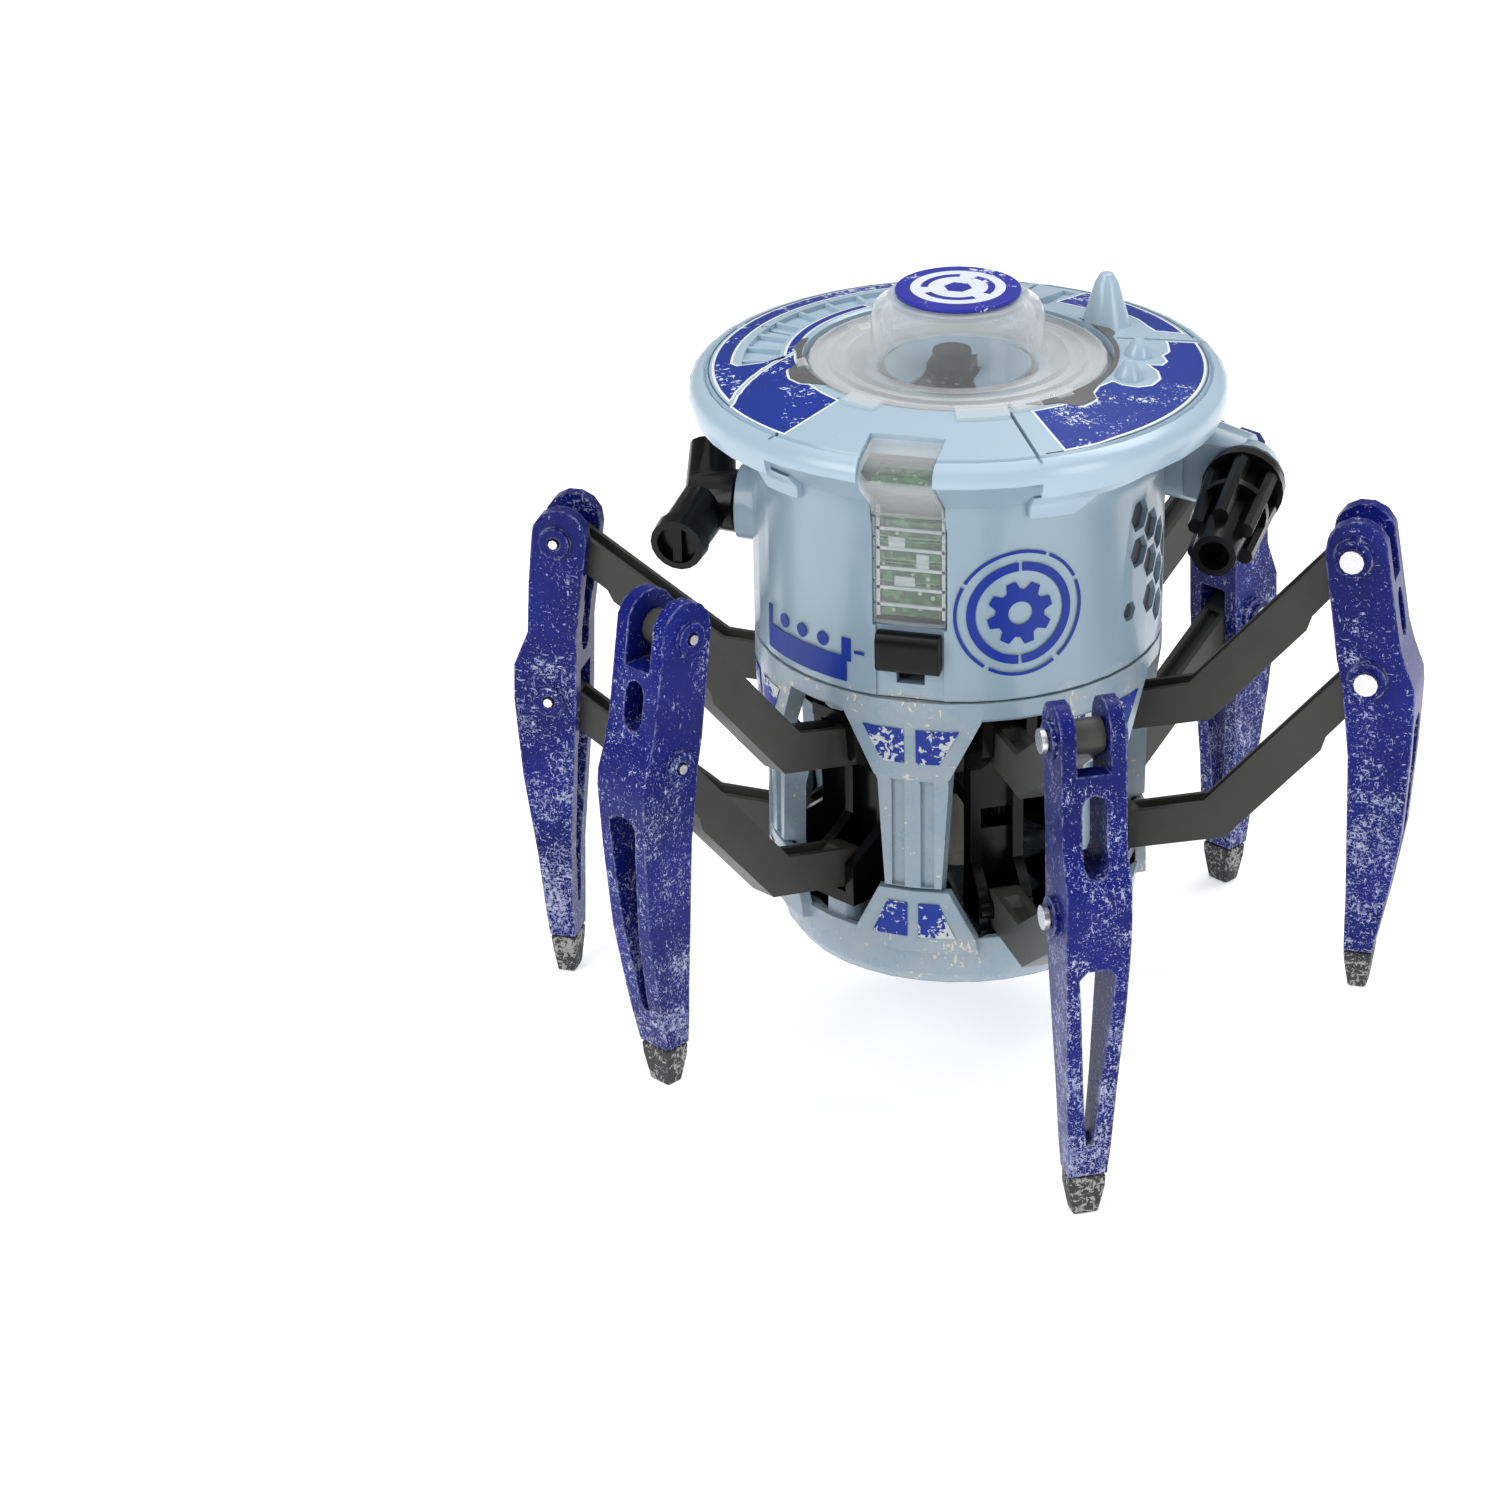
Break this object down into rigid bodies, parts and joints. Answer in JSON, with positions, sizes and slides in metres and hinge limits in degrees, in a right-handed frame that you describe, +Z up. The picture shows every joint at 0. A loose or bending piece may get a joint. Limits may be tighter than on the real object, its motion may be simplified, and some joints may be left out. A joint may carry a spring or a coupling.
{
  "type": "hexapod spider robot",
  "caption": "Walking spider robot with a turning domed head on an open caged base and parallelogram legs that swing and lift together.",
  "frame": {"origin": "on the floor under the middle of the body, where the head axis meets the ground", "axes": "+Z up along the head turning axis, -Y the front with the light window, +X the robot's own left seen from above facing -Y, which is the right side in a front view"},
  "size_m": [0.1453, 0.1314, 0.1249],
  "materials": {
    "body": "gloss",
    "leg_blue": "satin",
    "arm_grey": "satin",
    "foot_rubber": "matte",
    "pin_steel": "brushed",
    "black_plastic": "satin",
    "clear_plastic": "clear",
    "board_green": "satin",
    "motor_metal": "brushed",
    "white_nylon": "satin",
    "badge_blue": "gloss",
    "cell_case": "satin"
  },
  "bodies": {
    "leg_base": {"leg_cage": "body", "base_cup": "body"},
    "head": {"head_shell": "body", "head_top_cover": "body", "window_lens": "clear_plastic", "dome_lens": "clear_plastic", "dome_badge": "badge_blue", "ir_receiver": "black_plastic", "left_cannon": "black_plastic", "right_cannon": "black_plastic", "circuit_board": "board_green", "drive_motor": "motor_metal", "steering_motor": "motor_metal", "battery_pack": "cell_case"},
    "channel_switch": {"channel_switch": "black_plastic"},
    "drive_shaft": {"drive_shaft": "white_nylon"},
    "drive_plate_a": {"drive_plate_a": "black_plastic"},
    "drive_plate_b": {"drive_plate_b": "black_plastic"},
    "mid_right_hip": {"mid_right_hip_block": "black_plastic"},
    "mid_right_arm": {"mid_right_upper_arm": "arm_grey"},
    "mid_right_link": {"mid_right_lower_arm": "arm_grey"},
    "mid_right_shin": {"mid_right_shin": "leg_blue", "mid_right_foot_tip": "foot_rubber", "mid_right_upper_pin": "pin_steel", "mid_right_lower_pin": "pin_steel"},
    "rear_right_hip": {"rear_right_hip_block": "black_plastic"},
    "rear_right_arm": {"rear_right_upper_arm": "arm_grey"},
    "rear_right_link": {"rear_right_lower_arm": "arm_grey"},
    "rear_right_shin": {"rear_right_shin": "leg_blue", "rear_right_foot_tip": "foot_rubber", "rear_right_upper_pin": "pin_steel", "rear_right_lower_pin": "pin_steel"},
    "rear_left_hip": {"rear_left_hip_block": "black_plastic"},
    "rear_left_arm": {"rear_left_upper_arm": "arm_grey"},
    "rear_left_link": {"rear_left_lower_arm": "arm_grey"},
    "rear_left_shin": {"rear_left_shin": "leg_blue", "rear_left_foot_tip": "foot_rubber", "rear_left_upper_pin": "pin_steel", "rear_left_lower_pin": "pin_steel"},
    "mid_left_hip": {"mid_left_hip_block": "black_plastic"},
    "mid_left_arm": {"mid_left_upper_arm": "arm_grey"},
    "mid_left_link": {"mid_left_lower_arm": "arm_grey"},
    "mid_left_shin": {"mid_left_shin": "leg_blue", "mid_left_foot_tip": "foot_rubber", "mid_left_upper_pin": "pin_steel", "mid_left_lower_pin": "pin_steel"},
    "front_left_hip": {"front_left_hip_block": "black_plastic"},
    "front_left_arm": {"front_left_upper_arm": "arm_grey"},
    "front_left_link": {"front_left_lower_arm": "arm_grey"},
    "front_left_shin": {"front_left_shin": "leg_blue", "front_left_foot_tip": "foot_rubber", "front_left_upper_pin": "pin_steel", "front_left_lower_pin": "pin_steel"},
    "front_right_hip": {"front_right_hip_block": "black_plastic"},
    "front_right_arm": {"front_right_upper_arm": "arm_grey"},
    "front_right_link": {"front_right_lower_arm": "arm_grey"},
    "front_right_shin": {"front_right_shin": "leg_blue", "front_right_foot_tip": "foot_rubber", "front_right_upper_pin": "pin_steel", "front_right_lower_pin": "pin_steel"}
  },
  "joints": [
    {"name": "head_turn", "type": "hinge", "parent": "leg_base", "child": "head", "pos_m": [0, 0, 0.07], "axis": [0, 0, 1], "continuous": true},
    {"name": "switch_slide", "type": "slide", "parent": "head", "child": "channel_switch", "axis": [0, 0, 1], "range_m": [-0.004, 0]},
    {"name": "drive_shaft_turn", "type": "hinge", "parent": "leg_base", "child": "drive_shaft", "pos_m": [0, 0, 0.05], "axis": [0, 0, 1], "continuous": true},
    {"name": "mid_right_swing", "type": "hinge", "parent": "leg_base", "child": "mid_right_hip", "pos_m": [0.025, 0, 0.0565], "axis": [0, 0, 1], "range_deg": [-12, 12]},
    {"name": "mid_right_lift", "type": "hinge", "parent": "mid_right_hip", "child": "mid_right_arm", "pos_m": [0.023, 0, 0.0565], "axis": [0, -1, 0], "range_deg": [-17.4, 0]},
    {"name": "mid_right_lower", "type": "hinge", "parent": "mid_right_hip", "child": "mid_right_link", "pos_m": [0.0258, 0, 0.0364], "axis": [0, -1, 0], "range_deg": [-17.4, 0]},
    {"name": "mid_right_level", "type": "hinge", "parent": "mid_right_arm", "child": "mid_right_shin", "pos_m": [0.0628, 0, 0.0883], "axis": [0, -1, 0], "range_deg": [0, 17.4]},
    {"name": "rear_right_swing", "type": "hinge", "parent": "leg_base", "child": "rear_right_hip", "pos_m": [0.0125, 0.02165, 0.0595], "axis": [0, 0, 1], "range_deg": [-6, 6]},
    {"name": "rear_right_lift", "type": "hinge", "parent": "rear_right_hip", "child": "rear_right_arm", "pos_m": [0.012, 0.02079, 0.0595], "axis": [0.866, -0.5, 0], "range_deg": [0, 12.18]},
    {"name": "rear_right_lower", "type": "hinge", "parent": "rear_right_hip", "child": "rear_right_link", "pos_m": [0.0129, 0.02234, 0.0317], "axis": [0.866, -0.5, 0], "range_deg": [0, 12.18]},
    {"name": "rear_right_level", "type": "hinge", "parent": "rear_right_arm", "child": "rear_right_shin", "pos_m": [0.03225, 0.05586, 0.0785], "axis": [0.866, -0.5, 0], "range_deg": [-12.18, 0]},
    {"name": "rear_left_swing", "type": "hinge", "parent": "leg_base", "child": "rear_left_hip", "pos_m": [-0.0125, 0.02165, 0.0565], "axis": [0, 0, 1], "range_deg": [-6, 6]},
    {"name": "rear_left_lift", "type": "hinge", "parent": "rear_left_hip", "child": "rear_left_arm", "pos_m": [-0.0115, 0.01992, 0.0565], "axis": [0.866, 0.5, 0], "range_deg": [-17.4, 0]},
    {"name": "rear_left_lower", "type": "hinge", "parent": "rear_left_hip", "child": "rear_left_link", "pos_m": [-0.0129, 0.02234, 0.0364], "axis": [0.866, 0.5, 0], "range_deg": [-17.4, 0]},
    {"name": "rear_left_level", "type": "hinge", "parent": "rear_left_arm", "child": "rear_left_shin", "pos_m": [-0.0314, 0.05439, 0.0883], "axis": [0.866, 0.5, 0], "range_deg": [0, 17.4]},
    {"name": "mid_left_swing", "type": "hinge", "parent": "leg_base", "child": "mid_left_hip", "pos_m": [-0.025, 0, 0.0595], "axis": [0, 0, 1], "range_deg": [-12, 12]},
    {"name": "mid_left_lift", "type": "hinge", "parent": "mid_left_hip", "child": "mid_left_arm", "pos_m": [-0.024, 0, 0.0595], "axis": [0, 1, 0], "range_deg": [0, 12.18]},
    {"name": "mid_left_lower", "type": "hinge", "parent": "mid_left_hip", "child": "mid_left_link", "pos_m": [-0.0258, 0, 0.0317], "axis": [0, 1, 0], "range_deg": [0, 12.18]},
    {"name": "mid_left_level", "type": "hinge", "parent": "mid_left_arm", "child": "mid_left_shin", "pos_m": [-0.0645, 0, 0.0785], "axis": [0, 1, 0], "range_deg": [-12.18, 0]},
    {"name": "front_left_swing", "type": "hinge", "parent": "leg_base", "child": "front_left_hip", "pos_m": [-0.0125, -0.02165, 0.0565], "axis": [0, 0, 1], "range_deg": [-6, 6]},
    {"name": "front_left_lift", "type": "hinge", "parent": "front_left_hip", "child": "front_left_arm", "pos_m": [-0.0115, -0.01992, 0.0565], "axis": [-0.866, 0.5, 0], "range_deg": [-17.4, 0]},
    {"name": "front_left_lower", "type": "hinge", "parent": "front_left_hip", "child": "front_left_link", "pos_m": [-0.0129, -0.02234, 0.0364], "axis": [-0.866, 0.5, 0], "range_deg": [-17.4, 0]},
    {"name": "front_left_level", "type": "hinge", "parent": "front_left_arm", "child": "front_left_shin", "pos_m": [-0.0314, -0.05439, 0.0883], "axis": [-0.866, 0.5, 0], "range_deg": [0, 17.4]},
    {"name": "front_right_swing", "type": "hinge", "parent": "leg_base", "child": "front_right_hip", "pos_m": [0.0125, -0.02165, 0.0595], "axis": [0, 0, 1], "range_deg": [-6, 6]},
    {"name": "front_right_lift", "type": "hinge", "parent": "front_right_hip", "child": "front_right_arm", "pos_m": [0.012, -0.02079, 0.0595], "axis": [-0.866, -0.5, 0], "range_deg": [0, 12.18]},
    {"name": "front_right_lower", "type": "hinge", "parent": "front_right_hip", "child": "front_right_link", "pos_m": [0.0129, -0.02234, 0.0317], "axis": [-0.866, -0.5, 0], "range_deg": [0, 12.18]},
    {"name": "front_right_level", "type": "hinge", "parent": "front_right_arm", "child": "front_right_shin", "pos_m": [0.03225, -0.05586, 0.0785], "axis": [-0.866, -0.5, 0], "range_deg": [-12.18, 0]},
    {"name": "plate_a_slide", "type": "slide", "parent": "leg_base", "child": "drive_plate_a", "axis": [0, 1, 0], "range_m": [-0.0022, 0.0022]},
    {"name": "plate_b_slide", "type": "slide", "parent": "leg_base", "child": "drive_plate_b", "axis": [0, 1, 0], "range_m": [-0.0022, 0.0022]}
  ],
  "couplings": [
    {"joint": "mid_right_lower", "follows": "mid_right_lift", "ratio": 1},
    {"joint": "mid_right_level", "follows": "mid_right_lift", "ratio": -1},
    {"joint": "rear_right_swing", "follows": "mid_right_swing", "ratio": -0.5},
    {"joint": "rear_right_lift", "follows": "mid_right_lift", "ratio": -0.7},
    {"joint": "rear_right_lower", "follows": "mid_right_lift", "ratio": -0.7},
    {"joint": "rear_right_level", "follows": "mid_right_lift", "ratio": 0.7},
    {"joint": "rear_left_swing", "follows": "mid_right_swing", "ratio": -0.5},
    {"joint": "rear_left_lift", "follows": "mid_right_lift", "ratio": 1},
    {"joint": "rear_left_lower", "follows": "mid_right_lift", "ratio": 1},
    {"joint": "rear_left_level", "follows": "mid_right_lift", "ratio": -1},
    {"joint": "mid_left_swing", "follows": "mid_right_swing", "ratio": 1},
    {"joint": "mid_left_lift", "follows": "mid_right_lift", "ratio": -0.7},
    {"joint": "mid_left_lower", "follows": "mid_right_lift", "ratio": -0.7},
    {"joint": "mid_left_level", "follows": "mid_right_lift", "ratio": 0.7},
    {"joint": "front_left_swing", "follows": "mid_right_swing", "ratio": -0.5},
    {"joint": "front_left_lift", "follows": "mid_right_lift", "ratio": 1},
    {"joint": "front_left_lower", "follows": "mid_right_lift", "ratio": 1},
    {"joint": "front_left_level", "follows": "mid_right_lift", "ratio": -1},
    {"joint": "front_right_swing", "follows": "mid_right_swing", "ratio": -0.5},
    {"joint": "front_right_lift", "follows": "mid_right_lift", "ratio": -0.7},
    {"joint": "front_right_lower", "follows": "mid_right_lift", "ratio": -0.7},
    {"joint": "front_right_level", "follows": "mid_right_lift", "ratio": 0.7},
    {"joint": "plate_a_slide", "follows": "mid_right_swing", "m_per_rad": -0.01},
    {"joint": "plate_b_slide", "follows": "mid_right_swing", "m_per_rad": 0.01}
  ]
}
